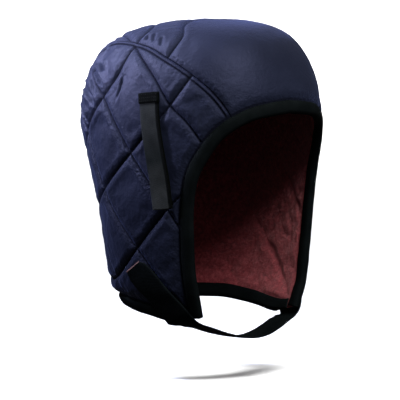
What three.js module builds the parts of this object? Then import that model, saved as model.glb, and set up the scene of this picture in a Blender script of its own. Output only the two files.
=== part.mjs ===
import * as THREE from 'three';

// Padded winter cap liner: a crown panel and two quilted side panels with bound edges,
// a soft lining, a chin strap and a webbing strap on each side.
// Millimetres, +Z up, the face looks towards -Y and the wearer's right is -X.
// The origin is where the top of the head meets the lining, inside the crown.

// Cloth thicknesses and gaps
const SHELL = 3.6;
const LINING = 2.5;
const GAP = 0.3;
const CROWN_TOP = SHELL + GAP + LINING;
const SEAM_GAP = 0.8;

// Relief of the padding: how far stitching sinks and how wide its dent is
const STITCH_SINK = 2.2;
const STITCH_REACH = 9;
const SEAM_SINK = 1.7;
const SEAM_REACH = 8;

// Bindings: how far they reach over the cloth, the band that they keep flat, how far the face
// binding runs past the flap's corner, and how far from that corner the neck binding starts,
// under the chin strap
const BINDING_WIDTH = 8;
const BINDING_BAND = 9.5;
const BINDING_STEP = 10;
const CHIN_CORNER_OVERHANG = 0.5;
const NECK_BINDING_START = 22;

// Straps
const CHIN_STRAP_THICKNESS = 1.8;
const CHIN_STRAP_STEPS = 36;
const CHIN_STRAP_COLUMNS = [-1, -1 / 3, 1 / 3, 1];
const WEBBING = { width: 18.5, length: 92, thickness: 1.6, tabLength: 8, tabExtra: 1.4, overhang: 1 };
const WEBBING_STEPS = 10;
const WEBBING_TAB_STEP = 0.004;

// Grid sizes of the faceted cloth, the points of each line on it, the reach within which a grid
// point slides onto a quilting line, and the least angle in radians of a well-shaped triangle
const SIDE_CELLS = { across: 26, down: 24 };
const CROWN_CELLS = { across: 10, down: 34 };
const LINE_STEPS = 80;
const SIDE_QUILTING_STEPS = 40;
const CROWN_QUILTING_STEPS = 24;
const SLIDE_REACH = 2.7;
const LEAST_ANGLE = 0.3;

// Where the seam between crown and side meets the face edge and the hem: distances from the
// middle plane
const SEAM_AT_FACE = 49;
const SEAM_AT_HEM = 30;

// The outer skin: sections across the head, each a superellipse. drop is the depth below the
// highest point, halfWidth is sideways, front and back are the reach towards -Y and +Y,
// and widest is where along Y the section is widest.
const SECTION_POWER = 2.3;
const SKIN = [
  { drop: 0, halfWidth: 0, front: 0, back: 0, widest: 0 },
  { drop: 4, halfWidth: 41, front: 42, back: 44, widest: 0 },
  { drop: 12, halfWidth: 59, front: 62, back: 71, widest: 6 },
  { drop: 22, halfWidth: 69, front: 72, back: 87, widest: 10 },
  { drop: 36, halfWidth: 77, front: 80, back: 99, widest: 12 },
  { drop: 56, halfWidth: 82, front: 87, back: 106, widest: 12 },
  { drop: 80, halfWidth: 84, front: 90, back: 111, widest: 12 },
  { drop: 105, halfWidth: 83.5, front: 90, back: 103.5, widest: 12 },
  { drop: 130, halfWidth: 82, front: 90, back: 94.5, widest: 10 },
  { drop: 160, halfWidth: 79, front: 90, back: 87, widest: 8 },
  { drop: 190, halfWidth: 75, front: 90, back: 83, widest: 6 },
  { drop: 210, halfWidth: 71.5, front: 88, back: 81, widest: 4 },
  { drop: 222, halfWidth: 67, front: 86, back: 72.5, widest: 2 },
  { drop: 232, halfWidth: 63, front: 84, back: 64, widest: 0 },
  { drop: 244, halfWidth: 57, front: 81, back: 50, widest: 0 },
];

// Lines on one side of the cap. out is the distance from the middle plane.
const FACE_EDGE = [
  { out: 0, y: -89, drop: 67.5 },
  { out: 20, y: -87.6, drop: 69.4 },
  { out: 37.6, y: -82, drop: 73 },
  { out: 56.5, y: -69.5, drop: 86 },
  { out: 65, y: -59, drop: 103 },
  { out: 70, y: -51, drop: 121 },
  { out: 70.5, y: -46.5, drop: 145 },
  { out: 69, y: -45, drop: 170 },
  { out: 66.5, y: -44, drop: 194 },
  { out: 61, y: -44, drop: 218.5 },
  { out: 56.5, y: -42.5, drop: 232 },
];
const HEM = [
  { out: 56.5, y: -42.5, drop: 232 },
  { out: 59, y: -27, drop: 234.5 },
  { out: 61, y: -10, drop: 234 },
  { out: 62.5, y: 8, drop: 231 },
  { out: 60, y: 26, drop: 227.5 },
  { out: 53, y: 43, drop: 225.5 },
  { out: 34, y: 60, drop: 225 },
  { out: 0, y: 68, drop: 225 },
];
const SIDE_SEAM = [
  { out: 52, y: -73, drop: 69 },
  { out: 59, y: -62, drop: 53 },
  { out: 66, y: -43, drop: 38 },
  { out: 69, y: -17, drop: 25 },
  { out: 66, y: 4, drop: 18.5 },
  { out: 61, y: 30, drop: 16 },
  { out: 54, y: 56, drop: 18 },
  { out: 49, y: 76, drop: 29 },
  { out: 45, y: 95, drop: 54 },
  { out: 42, y: 103, drop: 85 },
  { out: 39, y: 90, drop: 128 },
  { out: 36, y: 80, drop: 172 },
  { out: 33, y: 72, drop: 204 },
];
const SEAM_CORNER_ROW = 6;

// Quilting lines of a side panel, each through its crossings with the others. The columns are
// out, y and drop, as above.
const SIDE_QUILTING = {
  rising_1: [[60, 97, 150], [66, 85, 112], [72, 67, 90], [80, 42, 60], [78, 27, 40], [66, 20, 19]],
  rising_2: [[46, 90, 176], [62, 76, 158], [76, 45, 134], [84, 8, 103], [79, -31, 63], [66, -45, 38]],
  rising_3: [[44, 76, 208], [66, 43, 206], [77, 8, 180], [77, -27, 146], [71, -50, 125]],
  rising_4: [[50, 97, 100], [60, 88, 70], [61, 71, 35], [53, 60, 19]],
  falling_1: [[66, 20, 19], [78, -14, 43], [79, -32, 63], [74, -46, 76], [66, -57, 94]],
  falling_2: [[53, 60, 19], [61, 71, 35], [80, 42, 60], [84, 8, 103], [77, -27, 146], [71, -44, 172]],
  falling_3: [
    [48, 98, 62], [60, 88, 70], [72, 67, 90], [76, 45, 134], [77, 8, 180], [73, -10, 200], [60, -35, 228],
  ],
  falling_4: [[44, 102, 92], [66, 85, 112], [62, 76, 158], [66, 43, 206], [64, 29, 225]],
};
// Quilting lines of the crown panel, from its left seam to its right seam
const CROWN_QUILTING = {
  front_line: [[69, -20, 25], [53, -20, 10], [29, 0, 2], [0, 12, 0.5]],
  crossing_line: [[66, 20, 19], [47, 22, 7], [25, 38, 5], [0, 52, 8]],
  rear_line: [[53, 60, 19], [30, 72, 18], [0, 82, 20]],
  falling_line: [[66, 20, 19], [47, 50, 13], [30, 72, 18], [0, 98, 42]],
  back_line_1: [[47, 88, 42], [24, 100, 52], [0, 106, 66]],
  back_line_2: [[42, 102, 88], [21, 106, 100], [0, 97, 116]],
  back_line_3: [[38, 88, 140], [19, 90, 152], [0, 87, 166]],
  back_line_4: [[34, 77, 188], [17, 80, 200], [0, 76, 212]],
};

// Chin strap rows from the end on the right cheek to the sewn end on the left flap. across is the
// direction of its width, hold is 1 where it lies on the cloth and 0 where it hangs free.
const CHIN_STRAP = [
  { x: -74.5, y: 12, drop: 194, half: 9, across: [-0.12, -0.86, 0.49], hold: 1, lift: 0.5 },
  { x: -74, y: 7, drop: 198, half: 12, across: [-0.15, -0.78, 0.6], hold: 1, lift: 0.5 },
  { x: -72, y: -5, drop: 209, half: 12, across: [-0.2, -0.7, 0.68], hold: 1, lift: 0.8 },
  { x: -66.5, y: -18, drop: 222, half: 12, across: [-0.2, -0.8, 0.56], hold: 1, lift: 1.8 },
  { x: -60.5, y: -26.8, drop: 230.6, half: 12, across: [-0.15, -0.93, 0.33], hold: 1, lift: 3.2 },
  { x: -54, y: -31, drop: 237.6, half: 12, across: [0, -0.99, 0.12], hold: 0, lift: 3.2 },
  { x: -44, y: -34, drop: 240.6, half: 12, across: [0, -1, 0.05], hold: 0, lift: 0 },
  { x: -30, y: -37, drop: 245.2, half: 12, across: [0, -1, 0.03], hold: 0, lift: 0 },
  { x: -15, y: -39.5, drop: 249, half: 12, across: [0, -1, 0], hold: 0, lift: 0 },
  { x: 0, y: -40.5, drop: 250.5, half: 12, across: [0, -1, 0], hold: 0, lift: 0 },
  { x: 15, y: -39.5, drop: 249, half: 12, across: [0, -1, 0], hold: 0, lift: 0 },
  { x: 30, y: -37, drop: 245.2, half: 12, across: [0, -1, 0.03], hold: 0, lift: 0 },
  { x: 44, y: -34, drop: 240.6, half: 12, across: [0, -1, 0.05], hold: 0, lift: 0 },
  { x: 54, y: -31, drop: 237.6, half: 12, across: [0, -0.99, 0.12], hold: 0, lift: 3.2 },
  { x: 60.5, y: -26.8, drop: 230.6, half: 12, across: [0.15, -0.93, 0.33], hold: 1, lift: 3.2 },
  { x: 66.5, y: -18, drop: 222, half: 12, across: [0.2, -0.8, 0.56], hold: 1, lift: 1.8 },
  { x: 70.5, y: -9, drop: 213, half: 12, across: [0.2, -0.7, 0.68], hold: 1, lift: 0.7 },
];

// Webbing strap rows down one side: the middle line, and how far its back stands off the cloth
const WEBBING_ROWS = [
  { out: 80, y: -12.5, drop: 54, stand: 0.4 },
  { out: 82, y: -15.6, drop: 76, stand: 0.8 },
  { out: 82, y: -19.8, drop: 99, stand: 1.2 },
  { out: 80.5, y: -24.2, drop: 122, stand: 1.8 },
  { out: 78, y: -26.7, drop: 146, stand: 2.6 },
];

// Colours
const NAVY = { color: 0x232c4a, roughness: 0.5, metalness: 0 };
const BLACK_BINDING = { color: 0x0c1112, roughness: 0.8, metalness: 0 };
const BLACK_BAND = { color: 0x101314, roughness: 0.85, metalness: 0 };
const BLACK_WEBBING = { color: 0x25282b, roughness: 0.75, metalness: 0 };
const RED_LINING = { color: 0x7a2329, roughness: 0.95, metalness: 0 };

// Smooth curves through the skin table. A section's sizes are smooth in the square root of its depth.
const SKIN_COLUMNS = ['halfWidth', 'front', 'back', 'widest'];
const SKIN_KEYS = SKIN.map((row) => Math.sqrt(row.drop));

function monotoneSlopes(keys, values) {
  const steps = keys.slice(1).map((key, i) => key - keys[i]);
  const rises = steps.map((step, i) => (values[i + 1] - values[i]) / step);
  const last = keys.length - 1;
  return keys.map((_, i) => {
    if (i === 0) return rises[0];
    if (i === last) return rises[last - 1];
    if (rises[i - 1] * rises[i] <= 0) return 0;
    const before = 2 * steps[i] + steps[i - 1];
    const after = steps[i] + 2 * steps[i - 1];
    return (before + after) / (before / rises[i - 1] + after / rises[i]);
  });
}

const SKIN_SLOPES = {};
for (const column of SKIN_COLUMNS) {
  SKIN_SLOPES[column] = monotoneSlopes(SKIN_KEYS, SKIN.map((row) => row[column]));
}

function sectionAt(drop) {
  const key = Math.sqrt(Math.max(drop, 0));
  const last = SKIN_KEYS.length - 2;
  let i = 0;
  while (i < last && key > SKIN_KEYS[i + 1]) i += 1;
  const step = SKIN_KEYS[i + 1] - SKIN_KEYS[i];
  const t = (key - SKIN_KEYS[i]) / step;
  const section = {};
  for (const column of SKIN_COLUMNS) {
    const a = SKIN[i][column];
    const b = SKIN[i + 1][column];
    const slopeA = SKIN_SLOPES[column][i] * step;
    const slopeB = SKIN_SLOPES[column][i + 1] * step;
    const blend = t * t * (3 - 2 * t);
    section[column] = a + (b - a) * blend + slopeA * t * (1 - t) ** 2 - slopeB * t * t * (1 - t);
  }
  return section;
}

function isInside(point) {
  const drop = CROWN_TOP - point.z;
  if (drop <= 0) return false;
  const { halfWidth, front, back, widest } = sectionAt(drop);
  const along = point.y - widest;
  const reach = along < 0 ? front + widest : back - widest;
  const sum = (Math.abs(point.x) / halfWidth) ** SECTION_POWER + (Math.abs(along) / reach) ** SECTION_POWER;
  return sum < 1;
}

// Every point of the skin is found along a ray from a hub inside the head
const HUB = new THREE.Vector3(0, 8, CROWN_TOP - 90);
const RAY_LIMIT = 260;
const RAY_HALVINGS = 34;
const NORMAL_ANGLE = 0.02;

function alongRay(direction) {
  let near = 0;
  let far = RAY_LIMIT;
  const point = new THREE.Vector3();
  for (let i = 0; i < RAY_HALVINGS; i += 1) {
    const middle = (near + far) / 2;
    point.copy(HUB).addScaledVector(direction, middle);
    if (isInside(point)) near = middle;
    else far = middle;
  }
  return point.copy(HUB).addScaledVector(direction, near);
}

function onSkin(point) {
  return alongRay(point.clone().sub(HUB).normalize());
}

function skinNormal(point) {
  const ray = point.clone().sub(HUB).normalize();
  const helper = Math.abs(ray.z) < 0.9 ? new THREE.Vector3(0, 0, 1) : new THREE.Vector3(1, 0, 0);
  const first = new THREE.Vector3().crossVectors(helper, ray).normalize();
  const second = new THREE.Vector3().crossVectors(ray, first);
  const chord = (side) => {
    const ahead = alongRay(ray.clone().addScaledVector(side, NORMAL_ANGLE).normalize());
    return ahead.sub(alongRay(ray.clone().addScaledVector(side, -NORMAL_ANGLE).normalize()));
  };
  return chord(first).cross(chord(second)).normalize();
}

function raised(point, height) {
  return point.clone().addScaledVector(skinNormal(point), height);
}

// Lines of the cap, as lists of points on the skin at equal steps
function fromRow(row, side) {
  return new THREE.Vector3(side * row.out, row.y, CROWN_TOP - row.drop);
}

function skinLine(points, count) {
  const curve = new THREE.CatmullRomCurve3(points, false, 'centripetal');
  return curve.getSpacedPoints(count).map(onSkin);
}

function pointAlong(line, t) {
  const place = t * (line.length - 1);
  const i = Math.min(Math.floor(place), line.length - 2);
  return line[i].clone().lerp(line[i + 1], place - i);
}

function nearestOn(line, point) {
  const segment = new THREE.Line3();
  const found = new THREE.Vector3();
  let best = Infinity;
  let answer = null;
  for (let i = 0; i + 1 < line.length; i += 1) {
    segment.set(line[i], line[i + 1]).closestPointToPoint(point, true, found);
    const distance = found.distanceTo(point);
    if (distance < best) {
      best = distance;
      answer = found.clone();
    }
  }
  return answer;
}

function distanceTo(line, point) {
  return nearestOn(line, point).distanceTo(point);
}

// Closed solids from grids of points
function solidFromTriangles(corners) {
  const geometry = new THREE.BufferGeometry();
  const positions = corners.flatMap((corner) => corner.toArray());
  geometry.setAttribute('position', new THREE.Float32BufferAttribute(positions, 3));
  geometry.computeVertexNormals();
  return geometry;
}

// How far a triangle is from a sliver: its smallest angle
function sharpness(a, b, c) {
  const sides = [b.distanceTo(c), c.distanceTo(a), a.distanceTo(b)].sort((p, q) => p - q);
  const area = new THREE.Triangle(a, b, c).getArea();
  return Math.asin(Math.min(1, (2 * area) / (sides[1] * sides[2])));
}

// A cell is cut along its deeper diagonal, so that creases stay whole, unless that leaves a sliver
function cutsFirstWay([a, b, c, d], [sinkA, sinkB, sinkC, sinkD]) {
  const firstWay = Math.min(sharpness(a, b, c), sharpness(a, c, d));
  const secondWay = Math.min(sharpness(a, b, d), sharpness(b, c, d));
  if (Math.min(firstWay, secondWay) < LEAST_ANGLE) return firstWay >= secondWay;
  return sinkA + sinkC >= sinkB + sinkD;
}

// outer and inner are grids with equal rows and columns, and sinks is the outer grid's relief.
// Seen from outside, rows run down and columns to the right, or flip turns the faces round.
function sheetSolid(outer, inner, flip, sinks = null) {
  const corners = [];
  const triangle = (a, b, c) => corners.push(...(flip ? [a, c, b] : [a, b, c]));
  const rows = outer.length - 1;
  const columns = outer[0].length - 1;
  const cell = (grid, i, j) => [grid[i][j], grid[i + 1][j], grid[i + 1][j + 1], grid[i][j + 1]];
  const cut = ([a, b, c, d], firstWay) => {
    const [first, second] = firstWay ? [[a, b, c], [a, c, d]] : [[a, b, d], [b, c, d]];
    triangle(...first);
    triangle(...second);
  };
  for (let i = 0; i < rows; i += 1) {
    for (let j = 0; j < columns; j += 1) {
      const relief = sinks ? cell(sinks, i, j) : [0, 0, 0, 0];
      const firstWay = cutsFirstWay(cell(outer, i, j), relief);
      cut(cell(outer, i, j), firstWay);
      const [e, f, g, h] = cell(inner, i, j);
      cut([e, h, g, f], firstWay);
    }
  }
  const wall = (a, b, c, d) => {
    triangle(a, b, c);
    triangle(a, c, d);
  };
  for (let i = 0; i < rows; i += 1) {
    wall(outer[i][0], inner[i][0], inner[i + 1][0], outer[i + 1][0]);
    wall(outer[i + 1][columns], inner[i + 1][columns], inner[i][columns], outer[i][columns]);
  }
  for (let j = 0; j < columns; j += 1) {
    wall(outer[0][j + 1], inner[0][j + 1], inner[0][j], outer[0][j]);
    wall(outer[rows][j], inner[rows][j], inner[rows][j + 1], outer[rows][j + 1]);
  }
  return solidFromTriangles(corners);
}

// A solid swept through closed sections that all follow one flat outline
function sweptSolid(sections, outline) {
  const corners = [];
  const size = outline.length;
  for (let i = 0; i + 1 < sections.length; i += 1) {
    for (let j = 0; j < size; j += 1) {
      const k = (j + 1) % size;
      corners.push(sections[i][j], sections[i][k], sections[i + 1][k]);
      corners.push(sections[i][j], sections[i + 1][k], sections[i + 1][j]);
    }
  }
  const first = sections[0];
  const last = sections[sections.length - 1];
  const turn = Math.sign(THREE.ShapeUtils.area(outline));
  for (const face of THREE.ShapeUtils.triangulateShape(outline, [])) {
    const alongOutline = turn * THREE.ShapeUtils.area(face.map((k) => outline[k])) > 0;
    const [a, b, c] = alongOutline ? face : face.slice().reverse();
    corners.push(first[a], first[c], first[b]);
    corners.push(last[a], last[b], last[c]);
  }
  return solidFromTriangles(corners);
}

function named(name, geometry, finish) {
  const mesh = new THREE.Mesh(geometry, new THREE.MeshStandardMaterial(finish));
  mesh.name = name;
  return mesh;
}

// Lines of one side, each on the skin
function splitAtOut(line, out) {
  const before = (point, i) => i > 0 && (Math.abs(line[i - 1].x) - out) * (Math.abs(point.x) - out) <= 0;
  const i = line.findIndex(before);
  const a = line[i - 1];
  const b = line[i];
  const t = (out - Math.abs(a.x)) / (Math.abs(b.x) - Math.abs(a.x));
  const cut = onSkin(a.clone().lerp(b, t));
  return [[...line.slice(0, i), cut], [cut, ...line.slice(i)]];
}

function tableLine(rows, side, shift = 0) {
  const points = rows.map((row) => fromRow({ ...row, out: row.out + shift }, side));
  return skinLine(points, LINE_STEPS);
}

// shift moves the seam sideways, away from the middle plane
function sideLines(side, shift) {
  const [brow, cheek] = splitAtOut(tableLine(FACE_EDGE, side), SEAM_AT_FACE + shift);
  const [flap, nape] = splitAtOut(tableLine(HEM, side), SEAM_AT_HEM + shift);
  const inner = SIDE_SEAM.map((row) => fromRow({ ...row, out: row.out + shift }, side));
  const corner = onSkin(inner[SEAM_CORNER_ROW]);
  const seam = skinLine([cheek[0], ...inner, nape[0]], 2 * LINE_STEPS);
  const distances = seam.map((point) => point.distanceTo(corner));
  const turn = distances.indexOf(Math.min(...distances));
  return { brow, cheek, flap, nape, seam, topSeam: seam.slice(0, turn + 1), rearSeam: seam.slice(turn) };
}

// A patch of skin between four lines: top and bottom run across, front and rear run down
function skinPatch(top, bottom, front, rear) {
  return (u, v) => {
    const point = pointAlong(top, u).multiplyScalar(1 - v);
    point.addScaledVector(pointAlong(bottom, u), v);
    point.addScaledVector(pointAlong(front, v), 1 - u);
    point.addScaledVector(pointAlong(rear, v), u);
    point.addScaledVector(top[0], -(1 - u) * (1 - v));
    point.addScaledVector(top[top.length - 1], -u * (1 - v));
    point.addScaledVector(bottom[0], -(1 - u) * v);
    point.addScaledVector(bottom[bottom.length - 1], -u * v);
    return onSkin(point);
  };
}

// The share of a way across a patch at which its distance from a bound edge reaches the band
function bandShare(edge, pointAt) {
  const widestShare = 0.4;
  const halvings = 14;
  let near = 0;
  let far = widestShare;
  for (let i = 0; i < halvings; i += 1) {
    const middle = (near + far) / 2;
    if (distanceTo(edge, pointAt(middle)) < BINDING_BAND) near = middle;
    else far = middle;
  }
  return far;
}

// How far the outer skin sinks at a point: all the way under a binding, in a dent beside stitching
function dent(distance, reach, depth) {
  return distance >= reach ? 0 : depth * (1 - Math.sin((Math.PI / 2) * (distance / reach)));
}

function sinkAt(point, { bound, seams, quilting }) {
  const toBand = Math.min(...bound.map((line) => distanceTo(line, point))) - BINDING_BAND - GAP;
  const toSeam = Math.min(...seams.map((line) => distanceTo(line, point)));
  const toStitch = Math.min(...quilting.map((line) => distanceTo(line, point)));
  return Math.max(
    dent(Math.max(toBand, 0), STITCH_REACH, STITCH_SINK),
    dent(toSeam, SEAM_REACH, SEAM_SINK),
    dent(toStitch, STITCH_REACH, STITCH_SINK),
  );
}

// Grid points near a quilting line slide onto it, so that the faceted cloth creases along the line
function slidOntoStitching(point, quilting) {
  for (const line of quilting) {
    const nearest = nearestOn(line, point);
    if (nearest.distanceTo(point) < SLIDE_REACH) return onSkin(nearest);
  }
  return point;
}

function paddedPanel(grid, lines, isFree, flip) {
  const place = (point, i, j) => (isFree(i, j) ? slidOntoStitching(point, lines.quilting) : point);
  const stitched = grid.map((row, i) => row.map((point, j) => place(point, i, j)));
  const sinks = stitched.map((row) => row.map((point) => sinkAt(point, lines)));
  const outer = stitched.map((row, i) => row.map((point, j) => raised(point, -sinks[i][j])));
  const inner = grid.map((row) => row.map((point) => raised(point, -SHELL)));
  return sheetSolid(outer, inner, flip, sinks);
}

function liningPiece(grid, rows, columns, flip) {
  const sampled = rows.map((i) => columns.map((j) => grid[i][j]));
  const outer = sampled.map((row) => row.map((point) => raised(point, -SHELL - GAP)));
  const inner = sampled.map((row) => row.map((point) => raised(point, -SHELL - GAP - LINING)));
  return sheetSolid(outer, inner, flip);
}

function everySecond(first, last) {
  const count = (last - first) / 2 + 1;
  return Array.from({ length: count }, (_, i) => first + 2 * i);
}

function quiltingLines(table, side, steps) {
  return Object.values(table).map((rows) => {
    const points = rows.map(([out, y, drop]) => fromRow({ out, y, drop }, side));
    return skinLine(points, steps);
  });
}

// Side panels
function sideGrid(side) {
  const lines = sideLines(side, SEAM_GAP / 2);
  const patch = skinPatch(lines.topSeam, lines.flap, lines.cheek, lines.rearSeam);
  const { across, down } = SIDE_CELLS;
  const hemShares = [];
  for (let j = 0; j <= across; j += 1) {
    hemShares.push(bandShare(lines.flap, (share) => patch(j / across, 1 - share)));
  }
  const grid = [];
  for (let i = 0; i <= down; i += 1) {
    const row = [];
    const share = bandShare(lines.cheek, (t) => patch(t, Math.min(i / (down - 1), 1)));
    for (let j = 0; j <= across; j += 1) {
      const v = i === down ? 1 : (1 - hemShares[j]) * (i / (down - 1));
      const u = j === 0 ? 0 : share + (1 - share) * ((j - 1) / (across - 1));
      row.push(patch(u, v));
    }
    grid.push(row);
  }
  return { grid, lines };
}

function makeSide(side, label) {
  const { grid, lines } = sideGrid(side);
  const { across, down } = SIDE_CELLS;
  const relief = {
    bound: [lines.cheek, lines.flap],
    seams: [lines.seam],
    quilting: quiltingLines(SIDE_QUILTING, side, SIDE_QUILTING_STEPS),
  };
  const isFree = (i, j) => i > 0 && i < down - 1 && j > 1 && j < across;
  const flip = side < 0;
  const lining = liningPiece(grid, everySecond(0, down - 1), everySecond(1, across), flip);
  return [
    named(`side_panel_${label}`, paddedPanel(grid, relief, isFree, flip), NAVY),
    named(`lining_${label}`, lining, RED_LINING),
  ];
}

// Crown panel, from its right seam across to its left seam and from the forehead back to the nape
function makeCrown() {
  const right = sideLines(-1, -SEAM_GAP / 2);
  const left = sideLines(1, -SEAM_GAP / 2);
  const brow = [...right.brow.slice().reverse(), ...left.brow.slice(1)];
  const nape = [...right.nape, ...left.nape.slice(0, -1).reverse()];
  const patch = skinPatch(brow, nape, right.seam, left.seam);
  const { across, down } = CROWN_CELLS;
  const grid = Array.from({ length: down + 1 }, () => []);
  for (let j = 0; j <= across; j += 1) {
    const u = j / across;
    const first = bandShare(brow, (share) => patch(u, share));
    const last = 1 - bandShare(nape, (share) => patch(u, 1 - share));
    grid[0].push(patch(u, 0));
    for (let i = 1; i < down; i += 1) {
      grid[i].push(patch(u, first + (last - first) * ((i - 1) / (down - 2))));
    }
    grid[down].push(patch(u, 1));
  }
  const quilting = [-1, 1].flatMap((side) => quiltingLines(CROWN_QUILTING, side, CROWN_QUILTING_STEPS));
  const relief = { bound: [brow, nape], seams: [right.seam, left.seam], quilting };
  const isFree = (i, j) => i > 1 && i < down - 1 && j > 0 && j < across;
  const liningRows = Array.from({ length: down - 1 }, (_, i) => i + 1);
  const lining = liningPiece(grid, liningRows, everySecond(0, across), true);
  return [
    named('crown_panel', paddedPanel(grid, relief, isFree, true), NAVY),
    named('lining_crown', lining, RED_LINING),
  ];
}

// Bindings: a channel round the edge of the shell. Its heights are off the skin, and its end is
// just past the cloth's edge. Each row of the binding's outline gives a distance into the cloth
// from its edge and the thickness of binding over or under the channel there.
const CHANNEL = { top: 2 * GAP - STITCH_SINK, bottom: -SHELL - 2 * GAP, end: -2 * GAP };
const OVER_CHANNEL = [
  { into: BINDING_WIDTH - 0.6, thickness: 1.8 },
  { into: BINDING_WIDTH / 2, thickness: 2.5 },
  { into: 0, thickness: 1.9 },
  { into: -2.4, thickness: 0.5 },
];
const FOLD = { into: -3, height: (CHANNEL.top + CHANNEL.bottom) / 2 };
const UNDER_CHANNEL = [
  { into: -2.4, thickness: 0.2 },
  { into: 0, thickness: 1.4 },
  { into: BINDING_WIDTH / 2, thickness: 1.7 },
  { into: BINDING_WIDTH, thickness: 1.1 },
];
const BINDING_OUTLINE = [
  ...OVER_CHANNEL.map(({ into, thickness }) => new THREE.Vector2(into, CHANNEL.top + thickness)),
  new THREE.Vector2(FOLD.into, FOLD.height),
  ...UNDER_CHANNEL.map(({ into, thickness }) => new THREE.Vector2(into, CHANNEL.bottom - thickness)),
  new THREE.Vector2(BINDING_WIDTH, CHANNEL.bottom),
  new THREE.Vector2(CHANNEL.end, CHANNEL.bottom),
  new THREE.Vector2(CHANNEL.end, CHANNEL.top),
  new THREE.Vector2(BINDING_WIDTH, CHANNEL.top),
];

// inward is 1 where the cloth lies to the left of the route, seen from outside, and -1 to its right
function bindingAlong(route, inward) {
  const curve = new THREE.CatmullRomCurve3(route, false, 'centripetal');
  const count = Math.round(curve.getLength() / BINDING_STEP);
  const sections = [];
  for (let i = 0; i <= count; i += 1) {
    const point = curve.getPointAt(i / count);
    const into = skinNormal(point).cross(curve.getTangentAt(i / count)).multiplyScalar(inward);
    const place = (corner) => raised(onSkin(point.clone().addScaledVector(into, corner.x)), corner.y);
    sections.push(BINDING_OUTLINE.map(place));
  }
  return sections;
}

// The part of a line past a distance from its start
function trimmedStart(line, distance) {
  let left = distance;
  for (let i = 0; i + 1 < line.length; i += 1) {
    const step = line[i].distanceTo(line[i + 1]);
    if (step > left) return [line[i].clone().lerp(line[i + 1], left / step), ...line.slice(i + 1)];
    left -= step;
  }
  return line;
}

function extendedEnd(line, distance) {
  const last = line[line.length - 1];
  const direction = last.clone().sub(line[line.length - 2]).normalize();
  return [...line, onSkin(last.clone().addScaledVector(direction, distance))];
}

function makeBindings() {
  const faceHalf = (side) => extendedEnd(tableLine(FACE_EDGE, side), CHIN_CORNER_OVERHANG);
  const faceRoute = [...faceHalf(-1).reverse(), ...faceHalf(1).slice(1)];
  const hemHalf = (side) => trimmedStart(tableLine(HEM, side), NECK_BINDING_START);
  const hemRoute = [...hemHalf(-1), ...hemHalf(1).slice(0, -1).reverse()];
  return [
    named('face_binding', sweptSolid(bindingAlong(faceRoute, 1), BINDING_OUTLINE), BLACK_BINDING),
    named('neck_binding', sweptSolid(bindingAlong(hemRoute, -1).reverse(), BINDING_OUTLINE), BLACK_BINDING),
  ];
}

// Chin strap
function makeChinStrap() {
  const centres = CHIN_STRAP.map((row) => new THREE.Vector3(row.x, row.y, CROWN_TOP - row.drop));
  const curve = new THREE.CatmullRomCurve3(centres, false, 'centripetal');
  const inner = [];
  const outer = [];
  for (let i = 0; i <= CHIN_STRAP_STEPS; i += 1) {
    const t = i / CHIN_STRAP_STEPS;
    const place = t * (CHIN_STRAP.length - 1);
    const k = Math.min(Math.floor(place), CHIN_STRAP.length - 2);
    const a = CHIN_STRAP[k];
    const b = CHIN_STRAP[k + 1];
    const mix = (from, to) => from + (to - from) * (place - k);
    const centre = curve.getPoint(t);
    const across = new THREE.Vector3().fromArray(a.across);
    across.lerp(new THREE.Vector3().fromArray(b.across), place - k).normalize();
    const hold = mix(a.hold, b.hold);
    const lift = mix(a.lift, b.lift);
    const facing = curve.getTangent(t).cross(across).normalize();
    const innerRow = [];
    const outerRow = [];
    for (const column of CHIN_STRAP_COLUMNS) {
      const free = centre.clone().addScaledVector(across, column * mix(a.half, b.half));
      const point = free.clone().lerp(raised(onSkin(free), lift), hold);
      const normal = facing.clone().lerp(skinNormal(free), hold).normalize();
      innerRow.push(point);
      outerRow.push(point.clone().addScaledVector(normal, CHIN_STRAP_THICKNESS));
    }
    inner.push(innerRow);
    outer.push(outerRow);
  }
  return named('chin_strap', sheetSolid(outer, inner, false), BLACK_BAND);
}

// Webbing straps, sewn on at their top under a folded tab
function makeWebbing(side, label) {
  const middles = WEBBING_ROWS.map((row) => fromRow(row, side));
  const curve = new THREE.CatmullRomCurve3(middles, false, 'centripetal');
  const tabEnd = WEBBING.tabLength / WEBBING.length;
  const stations = [{ t: 0, tab: 1 }, { t: tabEnd, tab: 1 }, { t: tabEnd + WEBBING_TAB_STEP, tab: 0 }];
  for (let i = 1; i <= WEBBING_STEPS; i += 1) {
    stations.push({ t: tabEnd + (1 - tabEnd) * (i / WEBBING_STEPS), tab: 0 });
  }
  const rows = stations.map(({ t, tab }) => {
    const point = onSkin(curve.getPointAt(t));
    const across = curve.getTangentAt(t).cross(skinNormal(point)).normalize();
    const place = t * (WEBBING_ROWS.length - 1);
    const k = Math.min(Math.floor(place), WEBBING_ROWS.length - 2);
    const stand = THREE.MathUtils.lerp(WEBBING_ROWS[k].stand, WEBBING_ROWS[k + 1].stand, place - k);
    const half = WEBBING.width / 2 + tab * WEBBING.overhang;
    const columns = [-half, 0, half].map((offset) => onSkin(point.clone().addScaledVector(across, offset)));
    const thickness = WEBBING.thickness + tab * WEBBING.tabExtra;
    return {
      inner: columns.map((column) => raised(column, stand)),
      outer: columns.map((column) => raised(column, stand + thickness)),
    };
  });
  const geometry = sheetSolid(rows.map((row) => row.outer), rows.map((row) => row.inner), true);
  return named(`fastening_strap_${label}`, geometry, BLACK_WEBBING);
}

const liner = new THREE.Group();
liner.add(...makeCrown());
for (const [side, label] of [[-1, 'right'], [1, 'left']]) {
  liner.add(...makeSide(side, label), makeWebbing(side, label));
}
liner.add(...makeBindings(), makeChinStrap());

export default liner;
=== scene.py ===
import math

import bpy
import numpy as np
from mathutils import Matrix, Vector, kdtree


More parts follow.
